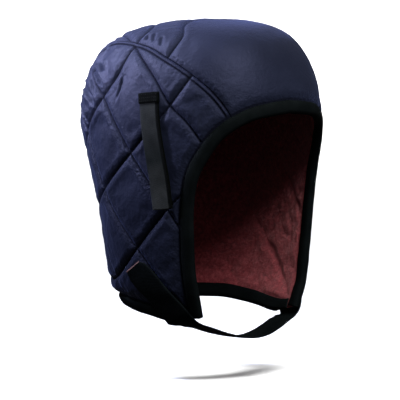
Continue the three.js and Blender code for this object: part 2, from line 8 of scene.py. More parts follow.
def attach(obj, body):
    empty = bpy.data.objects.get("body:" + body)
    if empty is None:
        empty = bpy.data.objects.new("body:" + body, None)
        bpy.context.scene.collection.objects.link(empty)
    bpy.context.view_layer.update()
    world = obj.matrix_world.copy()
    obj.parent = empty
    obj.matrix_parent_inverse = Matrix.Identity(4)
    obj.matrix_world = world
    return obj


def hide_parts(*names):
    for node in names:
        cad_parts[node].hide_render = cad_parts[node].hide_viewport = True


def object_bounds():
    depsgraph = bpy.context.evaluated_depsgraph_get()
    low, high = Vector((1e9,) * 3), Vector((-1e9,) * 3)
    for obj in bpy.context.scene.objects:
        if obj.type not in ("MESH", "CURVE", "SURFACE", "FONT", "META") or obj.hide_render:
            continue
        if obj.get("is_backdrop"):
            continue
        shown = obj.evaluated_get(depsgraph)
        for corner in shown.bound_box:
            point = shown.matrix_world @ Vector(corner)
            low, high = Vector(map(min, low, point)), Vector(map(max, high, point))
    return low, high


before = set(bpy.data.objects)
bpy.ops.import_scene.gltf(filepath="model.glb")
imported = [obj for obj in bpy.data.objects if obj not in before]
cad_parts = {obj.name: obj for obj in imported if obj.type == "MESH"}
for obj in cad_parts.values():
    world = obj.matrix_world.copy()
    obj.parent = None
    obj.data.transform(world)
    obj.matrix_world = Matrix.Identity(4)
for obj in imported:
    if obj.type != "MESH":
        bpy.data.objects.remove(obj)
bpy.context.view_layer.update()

# Sizes in millimetres, as in the part's own tables. MM turns them into metres.
MM = 0.001
SHELL = 3.6
LINING = 2.5
GAP = 0.3
CROWN_TOP = SHELL + GAP + LINING
SEAM_GAP = 0.14

# The outer skin: depth below the crown's top, half width, reach to the front and to the back,
# and where along Y the section is widest. Each section is a superellipse.
SECTION_POWER = 2.3
SKIN = np.array([
    (0, 0, 0, 0, 0),
    (4, 41, 42, 44, 0),
    (12, 59, 62, 71, 6),
    (22, 69, 72, 87, 10),
    (36, 77, 80, 99, 12),
    (56, 82, 87, 106, 12),
    (80, 84, 90, 111, 12),
    (105, 83.5, 90, 103.5, 12),
    (130, 82, 90, 94.5, 10),
    (160, 79, 90, 87, 8),
    (190, 75, 90, 83, 6),
    (210, 71.5, 88, 81, 4),
    (222, 67, 86, 72.5, 2),
    (232, 63, 84, 64, 0),
    (244, 57, 81, 50, 0),
], dtype=float)

# Lines on one side of the liner: distance from the middle plane, y, and depth below the crown's top
FACE_EDGE = [
    (0, -89, 67.5), (20, -87.6, 69.4), (37.6, -82, 73), (56.5, -69.5, 86), (65, -59, 103),
    (70, -51, 121), (70.5, -46.5, 145), (69, -45, 170), (66.5, -44, 194), (61, -44, 218.5),
    (56.5, -42.5, 232),
]
HEM = [
    (56.5, -42.5, 232), (59, -27, 234.5), (61, -10, 234), (62.5, 8, 231), (60, 26, 227.5),
    (53, 43, 225.5), (34, 60, 225), (0, 68, 225),
]
SIDE_SEAM = [
    (52, -73, 69), (59, -62, 53), (66, -43, 38), (69, -17, 25), (66, 4, 18.5), (61, 30, 16),
    (54, 56, 18), (49, 76, 29), (45, 95, 54), (42, 103, 85), (39, 90, 128), (36, 80, 172),
    (33, 72, 204),
]
SEAM_CORNER = (54, 56, 18)
SEAM_AT_FACE = 49
SEAM_AT_HEM = 30

# Quilting of a side panel, rising lines and then falling ones, and of the crown panel. Each line
# runs through its crossings.
SIDE_QUILTING = [
    [(60, 97, 150), (66, 85, 112), (72, 67, 90), (80, 42, 60), (78, 27, 40), (66, 20, 19)],
    [(46, 90, 176), (62, 76, 158), (76, 45, 134), (84, 8, 103), (79, -31, 63), (66, -45, 38)],
    [(44, 76, 208), (66, 43, 206), (77, 8, 180), (77, -27, 146), (71, -50, 125)],
    [(50, 97, 100), (60, 88, 70), (61, 71, 35), (53, 60, 19)],
    [(66, 20, 19), (78, -14, 43), (79, -32, 63), (74, -46, 76), (66, -57, 94)],
    [(53, 60, 19), (61, 71, 35), (80, 42, 60), (84, 8, 103), (77, -27, 146), (71, -44, 172)],
    [
        (48, 98, 62), (60, 88, 70), (72, 67, 90), (76, 45, 134), (77, 8, 180), (73, -10, 200),
        (60, -35, 228),
    ],
    [(44, 102, 92), (66, 85, 112), (62, 76, 158), (66, 43, 206), (64, 29, 225)],
]
CROWN_QUILTING = [
    [(69, -20, 25), (53, -20, 10), (29, 0, 2), (0, 12, 0.5)],
    [(66, 20, 19), (47, 22, 7), (25, 38, 5), (0, 52, 8)],
    [(53, 60, 19), (30, 72, 18), (0, 82, 20)],
    [(66, 20, 19), (47, 50, 13), (30, 72, 18), (0, 98, 42)],
    [(47, 88, 42), (24, 100, 52), (0, 106, 66)],
    [(42, 102, 88), (21, 106, 100), (0, 97, 116)],
    [(38, 88, 140), (19, 90, 152), (0, 87, 166)],
    [(34, 77, 188), (17, 80, 200), (0, 76, 212)],
]


# The skin as a function

SKIN_KEYS = np.sqrt(SKIN[:, 0])


def monotone_slopes(keys, values):
    steps = np.diff(keys)
    rises = np.diff(values) / steps
    slopes = np.zeros(len(keys))
    slopes[0] = rises[0]
    slopes[-1] = rises[-1]
    for i in range(1, len(keys) - 1):
        if rises[i - 1] * rises[i] > 0:
            before = 2 * steps[i] + steps[i - 1]
            after = steps[i] + 2 * steps[i - 1]
            slopes[i] = (before + after) / (before / rises[i - 1] + after / rises[i])
    return slopes


SKIN_SLOPES = [monotone_slopes(SKIN_KEYS, SKIN[:, column]) for column in range(1, 5)]


def section_at(drop):
    """Half width, front, back and widest place of the skin's section at each depth."""
    key = np.sqrt(np.maximum(drop, 0))
    i = np.clip(np.searchsorted(SKIN_KEYS, key) - 1, 0, len(SKIN_KEYS) - 2)
    step = SKIN_KEYS[i + 1] - SKIN_KEYS[i]
    t = (key - SKIN_KEYS[i]) / step
    sizes = []
    for column, slopes in enumerate(SKIN_SLOPES, start=1):
        a = SKIN[i, column]
        b = SKIN[i + 1, column]
        bend = slopes[i] * step * t * (1 - t) ** 2 - slopes[i + 1] * step * t * t * (1 - t)
        sizes.append(a + (b - a) * t * t * (3 - 2 * t) + bend)
    return sizes


def is_inside(points):
    drop = CROWN_TOP - points[..., 2]
    half_width, front, back, widest = section_at(drop)
    along = points[..., 1] - widest
    reach = np.where(along < 0, front + widest, back - widest)
    half_width = np.maximum(half_width, 1e-6)
    reach = np.maximum(reach, 1e-6)
    sideways = (np.abs(points[..., 0]) / half_width) ** SECTION_POWER
    total = sideways + (np.abs(along) / reach) ** SECTION_POWER
    return (total < 1) & (drop > 0)


HUB = np.array((0, 8, CROWN_TOP - 90.0))
RAY_LIMIT = 260.0
RAY_HALVINGS = 24
NORMAL_ANGLE = 0.02


def along_rays(directions):
    near = np.zeros(directions.shape[:-1])
    far = np.full(directions.shape[:-1], RAY_LIMIT)
    for _ in range(RAY_HALVINGS):
        middle = (near + far) / 2
        inside = is_inside(HUB + directions * middle[..., None])
        near = np.where(inside, middle, near)
        far = np.where(inside, far, middle)
    return HUB + directions * near[..., None]


def unit(vectors):
    return vectors / np.maximum(np.linalg.norm(vectors, axis=-1, keepdims=True), 1e-12)


def on_skin(points):
    return along_rays(unit(np.asarray(points, dtype=float) - HUB))


def skin_normals(points):
    ray = unit(np.asarray(points, dtype=float) - HUB)
    steep = np.abs(ray[..., 2:3]) >= 0.9
    helper = np.where(steep, np.array((1.0, 0, 0)), np.array((0, 0, 1.0)))
    first = unit(np.cross(helper, ray))
    second = np.cross(ray, first)

    def chord(side):
        return along_rays(unit(ray + side * NORMAL_ANGLE)) - along_rays(unit(ray - side * NORMAL_ANGLE))

    return unit(np.cross(chord(first), chord(second)))


def raised(points, heights):
    return points + skin_normals(points) * np.asarray(heights)[..., None]


# Lines on the skin

LINE_STEPS = 160
CURVE_STEPS = 24
SAMPLE_STEP = 0.5


def step_lengths(line):
    return np.linalg.norm(np.diff(line, axis=0), axis=1)


def running_total(steps):
    return np.concatenate(((0,), np.cumsum(steps)))


def smooth_line(points, count):
    """A centripetal Catmull-Rom curve through the points, at equal steps."""
    points = np.asarray(points, dtype=float)
    ends = (2 * points[0] - points[1], 2 * points[-1] - points[-2])
    chain = np.vstack((ends[0], points, ends[1]))
    knots = running_total(np.sqrt(step_lengths(chain)))
    dense = []
    for i in range(1, len(chain) - 2):
        p0, p1, p2, p3 = chain[i - 1:i + 3]
        t0, t1, t2, t3 = knots[i - 1:i + 3]
        t = np.linspace(t1, t2, CURVE_STEPS, endpoint=i == len(chain) - 3)[:, None]
        a1 = (t1 - t) / (t1 - t0) * p0 + (t - t0) / (t1 - t0) * p1
        a2 = (t2 - t) / (t2 - t1) * p1 + (t - t1) / (t2 - t1) * p2
        a3 = (t3 - t) / (t3 - t2) * p2 + (t - t2) / (t3 - t2) * p3
        b1 = (t2 - t) / (t2 - t0) * a1 + (t - t0) / (t2 - t0) * a2
        b2 = (t3 - t) / (t3 - t1) * a2 + (t - t1) / (t3 - t1) * a3
        dense.append((t2 - t) / (t2 - t1) * b1 + (t - t1) / (t2 - t1) * b2)
    return evenly(np.vstack(dense), count)


def lengths_along(line):
    return running_total(step_lengths(line))


def points_at(where, places, points):
    """Points in between the given ones, whose places along their line are known."""
    return np.stack([np.interp(where, places, points[:, k]) for k in range(3)], axis=-1)


def evenly(line, count):
    lengths = lengths_along(line)
    return points_at(np.linspace(0, lengths[-1], count + 1), lengths, line)


def line_length(line):
    return float(step_lengths(line).sum())


def table_points(rows, side, shift=0.0):
    return np.array([(side * (out + shift), y, CROWN_TOP - drop) for out, y, drop in rows])


def table_line(rows, side, count=LINE_STEPS):
    return on_skin(smooth_line(table_points(rows, side), count))


def split_at_out(line, out):
    gaps = np.abs(line[:, 0]) - out
    i = int(np.nonzero(gaps[:-1] * gaps[1:] <= 0)[0][0])
    t = gaps[i] / (gaps[i] - gaps[i + 1])
    cut = on_skin(line[i] * (1 - t) + line[i + 1] * t)
    return np.vstack((line[:i + 1], cut)), np.vstack((cut, line[i + 1:]))


def side_lines(side, shift):
    brow, cheek = split_at_out(table_line(FACE_EDGE, side), SEAM_AT_FACE + shift)
    flap, nape = split_at_out(table_line(HEM, side), SEAM_AT_HEM + shift)
    inner = table_points(SIDE_SEAM, side, shift)
    seam = on_skin(smooth_line(np.vstack((cheek[0], inner, nape[0])), 2 * LINE_STEPS))
    corner = on_skin(table_points([SEAM_CORNER], side, shift))[0]
    turn = int(np.argmin(np.linalg.norm(seam - corner, axis=1)))
    return {
        "brow": brow, "cheek": cheek, "flap": flap, "nape": nape, "seam": seam,
        "top_seam": seam[:turn + 1], "rear_seam": seam[turn:],
    }


def point_along(line, shares):
    return points_at(shares, np.linspace(0, 1, len(line)), evenly(line, len(line) - 1))


def skin_patch(top, bottom, front, rear, across, down):
    """A grid of skin points between four lines: two run across and two run down."""
    u = np.linspace(0, 1, across + 1)[None, :, None]
    v = np.linspace(0, 1, down + 1)[:, None, None]
    us = u[0, :, 0]
    vs = v[:, 0, 0]
    grid = (1 - v) * point_along(top, us)[None] + v * point_along(bottom, us)[None]
    grid = grid + (1 - u) * point_along(front, vs)[:, None] + u * point_along(rear, vs)[:, None]
    grid = grid - (1 - u) * (1 - v) * top[0] - u * (1 - v) * top[-1]
    grid = grid - (1 - u) * v * bottom[0] - u * v * bottom[-1]
    return on_skin(grid)


def nearest(lines, points):
    """Distance of each point from the nearest line, and its share of the way along that line."""
    evened = [evenly(line, max(2, int(line_length(line) / SAMPLE_STEP))) for line in lines]
    samples = np.vstack(evened)
    shares = np.concatenate([np.linspace(0, 1, len(line)) for line in evened])
    tree = kdtree.KDTree(len(samples))
    for i, sample in enumerate(samples):
        tree.insert(sample, i)
    tree.balance()
    found = [tree.find(point) for point in points.reshape(-1, 3)]
    distances = np.array([entry[2] for entry in found]).reshape(points.shape[:-1])
    places = shares[[entry[1] for entry in found]].reshape(points.shape[:-1])
    return distances, places


def distance_to(lines, points):
    return nearest(lines, points)[0]


# Meshes

def link(made):
    bpy.context.scene.collection.objects.link(made)
    return made


def new_object(name, vertices, faces):
    mesh = bpy.data.meshes.new(name)
    mesh.from_pydata([tuple(v) for v in np.asarray(vertices) * MM], [], faces)
    mesh.validate()
    mesh.polygons.foreach_set("use_smooth", np.ones(len(mesh.polygons), dtype=bool))
    mesh.update()
    return link(bpy.data.objects.new(name, mesh))


def grid_faces(rows, columns, offset=0, flip=False):
    i, j = np.meshgrid(np.arange(rows - 1), np.arange(columns - 1), indexing="ij")
    a = (i * columns + j).ravel() + offset
    quads = np.stack((a, a + columns, a + columns + 1, a + 1), axis=1)
    return (quads[:, ::-1] if flip else quads).tolist()


def border(rows, columns):
    """Row and column of each point round a grid's border, in order."""
    loop = [(0, j) for j in range(columns)]
    loop += [(i, columns - 1) for i in range(1, rows)]
    loop += [(rows - 1, j) for j in range(columns - 2, -1, -1)]
    loop += [(i, 0) for i in range(rows - 2, 0, -1)]
    return loop


def sheet_faces(rows, columns, flip):
    """Faces of a closed sheet: the outer grid's points come first, then the inner grid's."""
    size = rows * columns
    faces = grid_faces(rows, columns, 0, flip) + grid_faces(rows, columns, size, not flip)
    ring = [i * columns + j for i, j in border(rows, columns)]
    for a, b in zip(ring, ring[1:] + ring[:1]):
        wall = (a, b, b + size, a + size)
        faces.append(wall[::-1] if flip else wall)
    return faces


def padded_faces(rows, columns, flip):
    """A closed sheet whose inner grid has only every second point of the outer one, each way."""
    inner_rows = rows // 2 + 1
    inner_columns = columns // 2 + 1
    size = rows * columns
    faces = grid_faces(rows, columns, 0, flip) + grid_faces(inner_rows, inner_columns, size, not flip)
    outer_ring = [i * columns + j for i, j in border(rows, columns)]
    inner_ring = [size + i * inner_columns + j for i, j in border(inner_rows, inner_columns)]
    outer_ring.append(outer_ring[0])
    inner_ring.append(inner_ring[0])
    for k in range(len(inner_ring) - 1):
        wall = (*outer_ring[2 * k:2 * k + 3], inner_ring[k + 1], inner_ring[k])
        faces.append(wall[::-1] if flip else wall)
    return faces


def tube_faces(count, size):
    """Faces round a row of closed sections and over its two ends."""
    faces = []
    for i in range(count - 1):
        for j in range(size):
            k = (j + 1) % size
            faces.append((i * size + j, i * size + k, (i + 1) * size + k, (i + 1) * size + j))
    faces.append(tuple(range(size))[::-1])
    faces.append(tuple((count - 1) * size + j for j in range(size)))
    return faces


def joined(outer, inner):
    return np.concatenate((outer.reshape(-1, 3), inner.reshape(-1, 3)))


def add_cloth_coordinates(strap, across, lengths):
    """Places across and along a strap in metres, on both its faces, which its material reads."""
    cloth = np.zeros((*across.shape, 3))
    cloth[..., 0] = across
    cloth[..., 1] = lengths[:, None]
    values = joined(cloth, cloth) * MM
    attribute = strap.data.attributes.new("cloth", "FLOAT_VECTOR", "POINT")
    attribute.data.foreach_set("vector", values.astype(np.float32).ravel())


# Mixing numbers of the lattice noise
NOISE_MIX = np.array((127.1, 311.7, 74.7))
NOISE_SEED = 17.3
NOISE_OCTAVE = 5.1
NOISE_SPREAD = 43758.5453


def smooth_noise(points, size, seed, octaves=2):
    """Value noise on a lattice of the given size, the same each run."""
    total = np.zeros(points.shape[:-1])
    weight = 1.0
    for octave in range(octaves):
        scaled = points / size * 2 ** octave
        cell = np.floor(scaled).astype(int)
        t = scaled - cell
        t = t * t * (3 - 2 * t)
        value = np.zeros(points.shape[:-1])
        for corner in range(8):
            step = np.array([(corner >> k) & 1 for k in range(3)])
            share = np.prod(np.where(step == 1, t, 1 - t), axis=-1)
            key = (cell + step) @ NOISE_MIX + seed * NOISE_SEED + octave * NOISE_OCTAVE
            random = np.sin(key) * NOISE_SPREAD
            value += share * (random - np.floor(random))
        total += weight * (value - 0.5) * 2
        weight *= 0.5
    return total


# Relief of the padded panels

BAND = 9.0
STITCH_SINK = 2.2
STITCH_REACH = 7.0
STITCH_NOTCH = 1.3
NOTCH_WIDTH = 0.8
SEAM_SINK = 2.2
SEAM_REACH = 6
# A folded seam's profile: distance from the seam, then depth
FOLDED_SEAM = ((0, 3.0), (0.7, 1.3), (1.7, 0.5), (2.7, 0.7), (3.4, 2.1), (4.2, 1.3))
SEAM_GROOVE = 3.4
SEAM_END = 4.2

# Folds that the stitching draws into the cloth: points, then depth and half width. SHOULDER is
# how strongly the cloth rises on both sides of a fold. A fold fades over CREASE_FADE of its length.
SHOULDER = 1.4
CREASE_STEPS = 40
CREASE_FADE = 0.3
CREASE_LEAST = 0.15
SIDE_CREASES = [
    ([(65.8, 59.5, 32), (70.3, 52.9, 35), (74.8, 45.3, 40.2)], 3.4, 2.9),
    ([(61.5, 73.5, 37), (72.1, 56.3, 42.9), (77.2, 46, 49.3), (78.6, 42.7, 52.2)], 3.2, 2.5),
    ([(69, 65.3, 45.9), (74.8, 56.2, 52.8), (78, 49.8, 60.1)], 1.8, 1.8),
    ([(60, 82, 51), (71.8, 65.1, 57.3), (76.3, 56.6, 63.4), (78.4, 52.1, 68.1)], 3.4, 3.0),
    ([(55, 89, 60), (68.5, 74.3, 69.6), (73.2, 67, 78.1), (74.2, 64.7, 84.7)], 3.2, 2.7),
    ([(78.9, 20.6, 42.3), (81, 20.8, 51), (82.4, 23.3, 61.6)], 1.6, 1.8),
]
CROWN_CREASES = [
    ([(61.4, 10.4, 13.9), (56.2, 12.8, 10.3)], 1.7, 2.2),
    ([(63.3, 1.7, 15.6), (53.2, 7.3, 8.6)], 1.4, 1.9),
    ([(64.8, -8.8, 18.1), (57.1, -3.4, 10.9)], 1.7, 2.2),
]
# Where the padding is pushed out: middle and reach, then height
SIDE_SWELL = ((72, 62, 60), 34, 2.2)
# The padding is most crumpled at the upper back: middle, reach, and how much more than elsewhere
CRUMPLED = ((66, 66, 48), 62, 1.9)


def dent(distance, reach, depth):
    share = np.clip(distance / reach, 0, 1)
    return np.where(distance < reach, depth * (1 - np.sin(math.pi / 2 * share)), 0)


def seam_profile(distance, folded):
    """Depth beside a seam: a plain dent, or a folded edge with a stitched groove behind it."""
    if not folded:
        return dent(distance, SEAM_REACH, SEAM_SINK)
    places, depths = zip(*FOLDED_SEAM)
    beyond = dent(distance - SEAM_END, SEAM_REACH, FOLDED_SEAM[-1][1])
    return np.where(distance < SEAM_END, np.interp(distance, places, depths), beyond)


def eased(t):
    t = np.clip(t, 0, 1)
    return t * t * (3 - 2 * t)


def crease_depths(grid, creases, side):
    """Depth of all the folds at each point. Each fades out towards its two ends."""
    total = np.zeros(grid.shape[:2])
    for rows, depth, half_width in creases:
        distances, shares = nearest([table_line(rows, side, CREASE_STEPS)], grid)
        share = (distances / half_width) ** 2
        across = (1 - SHOULDER * share) * np.exp(-share)
        lengthwise = eased(np.minimum(shares, 1 - shares) / CREASE_FADE + CREASE_LEAST)
        total += depth * across * lengthwise
    return total


def swell_heights(grid, side):
    place, reach, height = SIDE_SWELL
    centre = table_points([place], side)[0]
    return height * eased(1 - np.linalg.norm(grid - centre, axis=-1) / reach)


CLOTH = {
    "quality": 5, "mass": 0.1, "tension_stiffness": 20, "compression_stiffness": 20,
    "shear_stiffness": 8, "bending_stiffness": 1.5, "air_damping": 2,
    "use_pressure": True, "uniform_pressure_force": 0.8, "shrink_min": -0.02,
}
CLOTH_FRAMES = 22


def simulate(name, start, flip, pinned):
    """Puffs a pinned sheet up with cloth simulation and returns its points."""
    rows, columns = start.shape[:2]
    sheet = new_object(f"{name}_sheet", start.reshape(-1, 3), grid_faces(rows, columns, 0, flip))
    group = sheet.vertex_groups.new(name="pinned")
    group.add(np.nonzero(pinned.ravel())[0].tolist(), 1.0, "REPLACE")
    cloth = sheet.modifiers.new("Cloth", "CLOTH")
    for key, value in CLOTH.items():
        setattr(cloth.settings, key, value)
    cloth.settings.vertex_group_mass = "pinned"
    cloth.settings.effector_weights.gravity = 0
    cloth.collision_settings.use_collision = False
    cloth.point_cache.frame_start = 1
    cloth.point_cache.frame_end = CLOTH_FRAMES
    scene = bpy.context.scene
    for frame_number in range(1, CLOTH_FRAMES + 1):
        scene.frame_set(frame_number)
    done = sheet.evaluated_get(bpy.context.evaluated_depsgraph_get())
    points = np.empty(len(done.data.vertices) * 3)
    done.data.vertices.foreach_get("co", points)
    scene.frame_set(1)
    bpy.data.objects.remove(sheet)
    return points.reshape(start.shape) / MM


def blurred(values):
    """Averages each grid point with its four neighbours."""
    wide = np.pad(values, ((1, 1), (1, 1), (0, 0)), mode="edge")
    around = wide[:-2, 1:-1] + wide[2:, 1:-1] + wide[1:-1, :-2] + wide[1:-1, 2:]
    return 0.5 * values + 0.125 * around


# How far the padding may rise and sink, before and after the fine relief is added
HIGHEST = 1.6
LOWEST = -2.6
DEEPEST = -3.1
# Away from the crumpled place only this share of the simulated puffing is kept
LEAST_PUFF = 0.4
CRINKLE = 0.17
CRINKLE_SIZE = 4.0
CRINKLE_REACH = 3
# Reach from stitching that the simulation holds, and over which its result comes in
PINNED_REACH = 1.1
FREE_REACH = 2.4
PLAIN_SEAM_FIRM = 0.7
# Reach over which the folds and swells fade out beside the binding and the seam
FADE_AT_BAND = 4
FADE_AT_SEAM = 3


def doubled(values):
    """The grid with a point added between every two, each way, on a smooth curve."""
    for _ in range(2):
        ends = np.concatenate((2 * values[:1] - values[1:2], values, 2 * values[-1:] - values[-2:-1]))
        between = (9 * (values[:-1] + values[1:]) - ends[:-3] - ends[3:]) / 16
        finer = np.empty((2 * len(values) - 1, *values.shape[1:]))
        finer[::2] = values
        finer[1::2] = between
        values = finer.swapaxes(0, 1)
    return values


def puffed(name, grid, sink, pinned, flip):
    """How far simulated padding moves each grid point. Every second point is simulated."""
    start = raised(grid, -sink)
    coarse = start[::2, ::2]
    held = pinned[::2, ::2].copy()
    held[0] = held[-1] = True
    held[:, 0] = held[:, -1] = True
    moved = simulate(name, coarse, flip, held) - coarse
    return doubled(blurred(moved))


def padded_panel(name, grid, bound, seams, quilting, flip, folded, extra, calm=1.0):
    """One panel of padded cloth, puffed up between its stitching lines, with an inner side."""
    to_band = np.maximum(distance_to(bound, grid) - BAND, 0)
    to_seam = distance_to(seams, grid)
    to_stitch = distance_to(quilting, grid)
    sink = np.maximum.reduce([
        dent(to_band, STITCH_REACH, STITCH_SINK),
        dent(to_stitch, STITCH_REACH, STITCH_SINK),
        seam_profile(to_seam, folded),
    ])
    firm = SEAM_END if folded else PLAIN_SEAM_FIRM
    place, spread, more = CRUMPLED
    centres = [table_points([place], side)[0] for side in (-1, 1)]
    to_crumpled = np.minimum.reduce([np.linalg.norm(grid - centre, axis=-1) for centre in centres])
    crumpled = eased(1 - to_crumpled / spread)
    height = -sink
    sideways = np.zeros(grid.shape)
    pinned = (to_stitch < PINNED_REACH) | (to_band <= 0) | (to_seam < firm)
    free = eased(to_stitch / FREE_REACH) * eased(to_band / FREE_REACH)
    free = free * eased((to_seam - firm) / FREE_REACH)
    free *= calm * (LEAST_PUFF + (1 - LEAST_PUFF) * crumpled)
    moved = puffed(name, grid, sink, pinned, flip) * free[..., None]
    normals = skin_normals(grid)
    outward = (moved * normals).sum(axis=-1)
    height = height + outward
    sideways = moved - normals * outward[..., None]
    height = np.clip(height, LOWEST, HIGHEST)
    reach = np.minimum.reduce([to_stitch, to_band, to_seam])
    if folded:
        reach = np.minimum(reach, np.abs(to_seam - SEAM_GROOVE))
    crinkle = CRINKLE * (1 + more * crumpled) * smooth_noise(grid * (1, 1, 0.6), CRINKLE_SIZE, 7, 3)
    crinkle *= eased(reach / CRINKLE_REACH) * calm
    notch = STITCH_NOTCH * np.exp(-(to_stitch / NOTCH_WIDTH) ** 2)
    notch *= to_band > 0
    from_seam = to_seam - firm if folded else to_seam
    edge_fade = eased(to_band / FADE_AT_BAND) * eased(from_seam / FADE_AT_SEAM)
    relief = np.maximum(height - notch + crinkle + extra * edge_fade, DEEPEST)
    outer = raised(grid, relief) + sideways
    inner = raised(grid[::2, ::2], -SHELL)
    piece = new_object(name, joined(outer, inner), padded_faces(*grid.shape[:2], flip))
    # The nylon's material reads this distance to paint shade into the grooves.
    stitch = np.concatenate((reach.ravel(), reach[::2, ::2].ravel()))
    attribute = piece.data.attributes.new("from_stitch", "FLOAT", "POINT")
    attribute.data.foreach_set("value", (stitch * MM).astype(np.float32))
    return piece


# Side panels

ROWS_DOWN = 280
COLUMNS_ACROSS = 200
SIDE_QUILTING_STEPS = 80


def make_side(side, label):
    lines = side_lines(side, SEAM_GAP / 2)
    patch = (lines["top_seam"], lines["flap"], lines["cheek"], lines["rear_seam"])
    grid = skin_patch(*patch, COLUMNS_ACROSS, ROWS_DOWN)
    quilting = [table_line(rows, side, SIDE_QUILTING_STEPS) for rows in SIDE_QUILTING]
    flip = side < 0
    bound = [lines["cheek"], lines["flap"]]
    extra = swell_heights(grid, side) - crease_depths(grid, SIDE_CREASES, side)
    name = f"padded_side_{label}"
    panel = padded_panel(name, grid, bound, [lines["seam"]], quilting, flip, True, extra)
    finish_piece(panel, f"side_panel_{label}", "shell_nylon")
    inside = skin_patch(*patch, COLUMNS_ACROSS // LINING_COARSER, ROWS_DOWN // LINING_COARSER)
    lining = fleece_sheet(f"fleece_{label}", inside, bound, quilting, flip)
    finish_piece(lining, f"lining_{label}", "lining_fleece")
    return panel, lining, quilting


# Crown panel

CROWN_ROWS = 440
CROWN_COLUMNS = 110
CROWN_QUILTING_STEPS = 48
# The plain front of the crown has less relief: where along Y it starts to grow, over what length,
# and the least share of it
CALM_FROM = -35
CALM_LENGTH = 30
LEAST_CALM = 0.35


def make_crown():
    right = side_lines(-1, -SEAM_GAP / 2)
    left = side_lines(1, -SEAM_GAP / 2)
    brow = np.vstack((right["brow"][::-1], left["brow"][1:]))
    nape = np.vstack((right["nape"], left["nape"][:-1][::-1]))
    grid = skin_patch(brow, nape, right["seam"], left["seam"], CROWN_COLUMNS, CROWN_ROWS)
    quilting = [
        table_line(rows, side, CROWN_QUILTING_STEPS) for rows in CROWN_QUILTING for side in (-1, 1)
    ]
    calm = np.clip((grid[..., 1] - CALM_FROM) / CALM_LENGTH, LEAST_CALM, 1)
    seams = [right["seam"], left["seam"]]
    extra = -crease_depths(grid, CROWN_CREASES, -1) - crease_depths(grid, CROWN_CREASES, 1)
    panel = padded_panel("padded_crown", grid, [brow, nape], seams, quilting, True, False, extra, calm)
    finish_piece(panel, "crown_panel", "shell_nylon")
    across, down = CROWN_COLUMNS // LINING_COARSER, CROWN_ROWS // LINING_COARSER
    inside = skin_patch(brow, nape, right["seam"], left["seam"], across, down)
    lining = fleece_sheet("fleece_crown", inside, [brow, nape], quilting, True)
    finish_piece(lining, "lining_crown", "lining_fleece")
    return panel, lining, quilting


# Fleece lining

BINDING_WIDTH = 8.0
LINING_COARSER = 3
PILE = 0.7
TUFT_SIZE = 5.0
PINCHED = 1.2
DRAWN_IN = 1.3
DRAWN_IN_REACH = 6


def fleece_sheet(name, grid, bound, quilting, flip):
    """The lining: its pile faces the head, in small soft tufts, drawn in along the quilting."""
    to_stitch = distance_to(quilting, grid)
    to_band = distance_to(bound, grid)
    tufts = smooth_noise(grid, TUFT_SIZE, 3, 3) * PILE
    drawn_in = dent(to_stitch, DRAWN_IN_REACH, DRAWN_IN)
    full = LINING + tufts - drawn_in
    depth = SHELL + GAP + PINCHED + (full - PINCHED) * eased((to_band - BINDING_WIDTH) / 3)
    outer = raised(grid, np.full(grid.shape[:2], -SHELL - GAP))
    inner = raised(grid, -depth)
    return new_object(name, joined(outer, inner), sheet_faces(*grid.shape[:2], flip))


# Bindings

OUTLINE_STEPS = 26
BINDING_STEP = 1.6
PRESSED_AWAY = 0.8
PRESSED_LENGTH = 14.0
PRESSED_EASE = 5
FACE_OVERHANG = 0.5
HEM_START = 8.8
# The rolled edge of the section: its middle, and its reach along the cloth and off it
ROLL_CENTRE = np.array((1.0, -2.85))
ROLL_REACH = np.array((4.0, 3.4))
# Only what lies beyond these heights is uneven
EVEN_BETWEEN = (-5.6, -1.2)


def binding_outline():
    """The section round the cloth's edge: d runs into the cloth and n off it, anticlockwise."""
    top = -STITCH_SINK + 0.35
    bottom = -SHELL - GAP - PINCHED - 0.2
    outside = []
    for k in range(2, OUTLINE_STEPS - 1):
        turn = math.pi * (0.5 + k / OUTLINE_STEPS)
        outside.append(ROLL_CENTRE + ROLL_REACH * (math.cos(turn), math.sin(turn)))
    upper = [(7.9, top + 0.5), (7.3, top + 1.5), (6.2, 0.2), (4.6, 0.5), (2.8, 0.62)]
    lower = [(2.8, bottom - 1.0), (4.6, bottom - 1.0), (6.4, bottom - 0.8), (7.6, bottom - 0.4)]
    channel = [(7.8, bottom), (-0.6, bottom), (-0.6, top), (BINDING_WIDTH, top)]
    return np.array(upper + outside + lower + channel)


def binding_line(route, inward):
    line = evenly(route, int(line_length(route) / BINDING_STEP))
    tangents = unit(np.gradient(line, axis=0))
    return line, unit(np.cross(skin_normals(line), tangents)) * inward


def make_binding(name, route, inward, seed, pressed=0.0):
    """A binding along its route, pressed thin over a length at each end."""
    outline = binding_outline()
    line, into = binding_line(route, inward)
    from_start = np.linspace(0, line_length(line), len(line))
    from_end = np.minimum(from_start, from_start[::-1])
    full = eased((from_end - pressed) / PRESSED_EASE) if pressed else np.ones(len(line))
    top = outline[-1][1]
    edge = outline[-2][0]
    sections = []
    waver = smooth_noise(line, 14.0, seed)
    plump = smooth_noise(line, 9.0, seed + 4)
    for d, n in outline:
        over_edge = min(d - edge, 0)
        over_top = max(n - top, 0)
        widths = d - over_edge * PRESSED_AWAY * (1 - full)
        heights = n - over_top * PRESSED_AWAY * (1 - full)
        spread = 0.35 * waver * np.clip(d / BINDING_WIDTH, 0, 1)
        place = on_skin(line + into * (widths + spread)[:, None])
        outside = 0.0 if EVEN_BETWEEN[0] <= n <= EVEN_BETWEEN[1] else 1.0
        sections.append(raised(place, heights + 0.2 * plump * full * outside * np.sign(n + 2)))
    sections = np.stack(sections, axis=1)
    if inward < 0:
        sections = sections[::-1]
    return new_object(name, sections.reshape(-1, 3), tube_faces(*sections.shape[:2]))


def extended(line, distance):
    last = line[-1]
    direction = unit(last - line[-2])
    return np.vstack((line, on_skin(last + direction * distance)))


